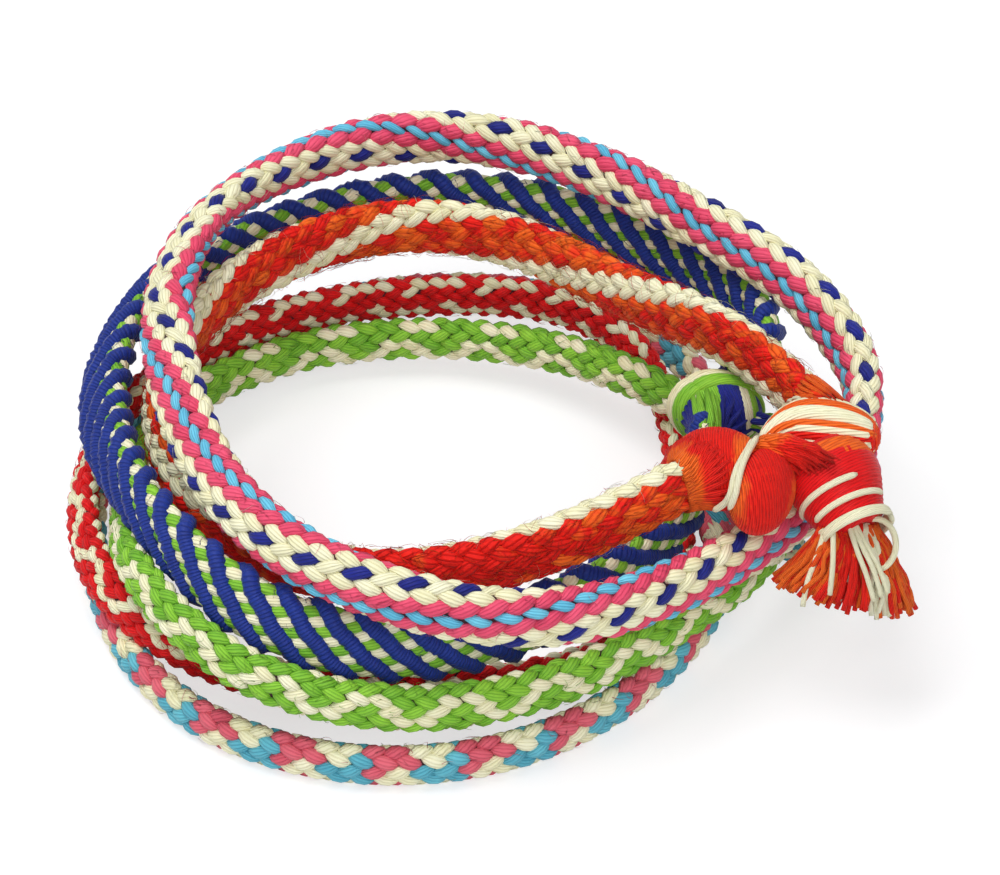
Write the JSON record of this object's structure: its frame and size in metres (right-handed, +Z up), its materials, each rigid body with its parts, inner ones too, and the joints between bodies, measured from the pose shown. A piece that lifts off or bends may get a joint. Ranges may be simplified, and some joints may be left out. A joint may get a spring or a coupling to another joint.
{
  "type": "braided bracelet pile",
  "caption": "Pile of braided floss bracelets laid over one another as loops, with knotted ends and a whipped tassel on the top closure.",
  "frame": {"origin": "on the floor, under the middle of the pile", "axes": "+Z up, +X towards the side where the closures and the tassel lie, -Y towards the side where the pile leans over its lowest loop"},
  "size_m": [0.0749, 0.0689, 0.0241],
  "materials": {
    "floss_check": "stranded cotton floss, light blue, pink and cream",
    "floss_red": "stranded cotton floss, red and cream",
    "floss_green": "stranded cotton floss, green and cream",
    "floss_navy": "stranded cotton floss, navy, green and cream",
    "floss_pink": "stranded cotton floss, pink, light blue, navy and cream",
    "floss_orange": "variegated cotton floss, red to orange, with cream",
    "thread_cream": "cream cotton thread"
  },
  "bodies": {
    "check_bracelet": {"check_braid": "floss_check", "check_knot": "floss_check", "check_tail": "floss_check"},
    "red_bracelet": {"red_braid": "floss_red", "red_knot": "floss_red", "red_tail": "floss_red"},
    "green_bracelet": {"green_braid": "floss_green", "green_knot": "floss_green", "green_tail": "floss_green"},
    "navy_bracelet": {"navy_braid": "floss_navy", "navy_knot": "floss_navy", "navy_tail": "floss_navy"},
    "pink_bracelet": {"pink_braid": "floss_pink", "pink_knot": "floss_pink", "pink_tail": "floss_pink"},
    "orange_bracelet": {"orange_braid": "floss_orange", "orange_knot": "floss_orange", "orange_hitch": "floss_orange", "orange_crown": "floss_orange", "orange_whipping": "floss_orange", "cream_binding": "thread_cream", "orange_tassel": "floss_orange", "cream_thread_loop": "thread_cream"}
  },
  "joints": [
    {"name": "red_lift", "type": "slide", "parent": "check_bracelet", "child": "red_bracelet", "axis": [0, 0, 1], "range_m": [0, 0.03]},
    {"name": "green_lift", "type": "slide", "parent": "red_bracelet", "child": "green_bracelet", "axis": [0, 0, 1], "range_m": [0, 0.03]},
    {"name": "navy_lift", "type": "slide", "parent": "green_bracelet", "child": "navy_bracelet", "axis": [0, 0, 1], "range_m": [0, 0.03]},
    {"name": "pink_lift", "type": "slide", "parent": "navy_bracelet", "child": "pink_bracelet", "axis": [0, 0, 1], "range_m": [0, 0.03]},
    {"name": "orange_tilt", "type": "hinge", "parent": "pink_bracelet", "child": "orange_bracelet", "pos_m": [-0.0255, 0.016, 0.018], "axis": [0.1275, -0.9918, 0], "range_deg": [0, 15]}
  ]
}
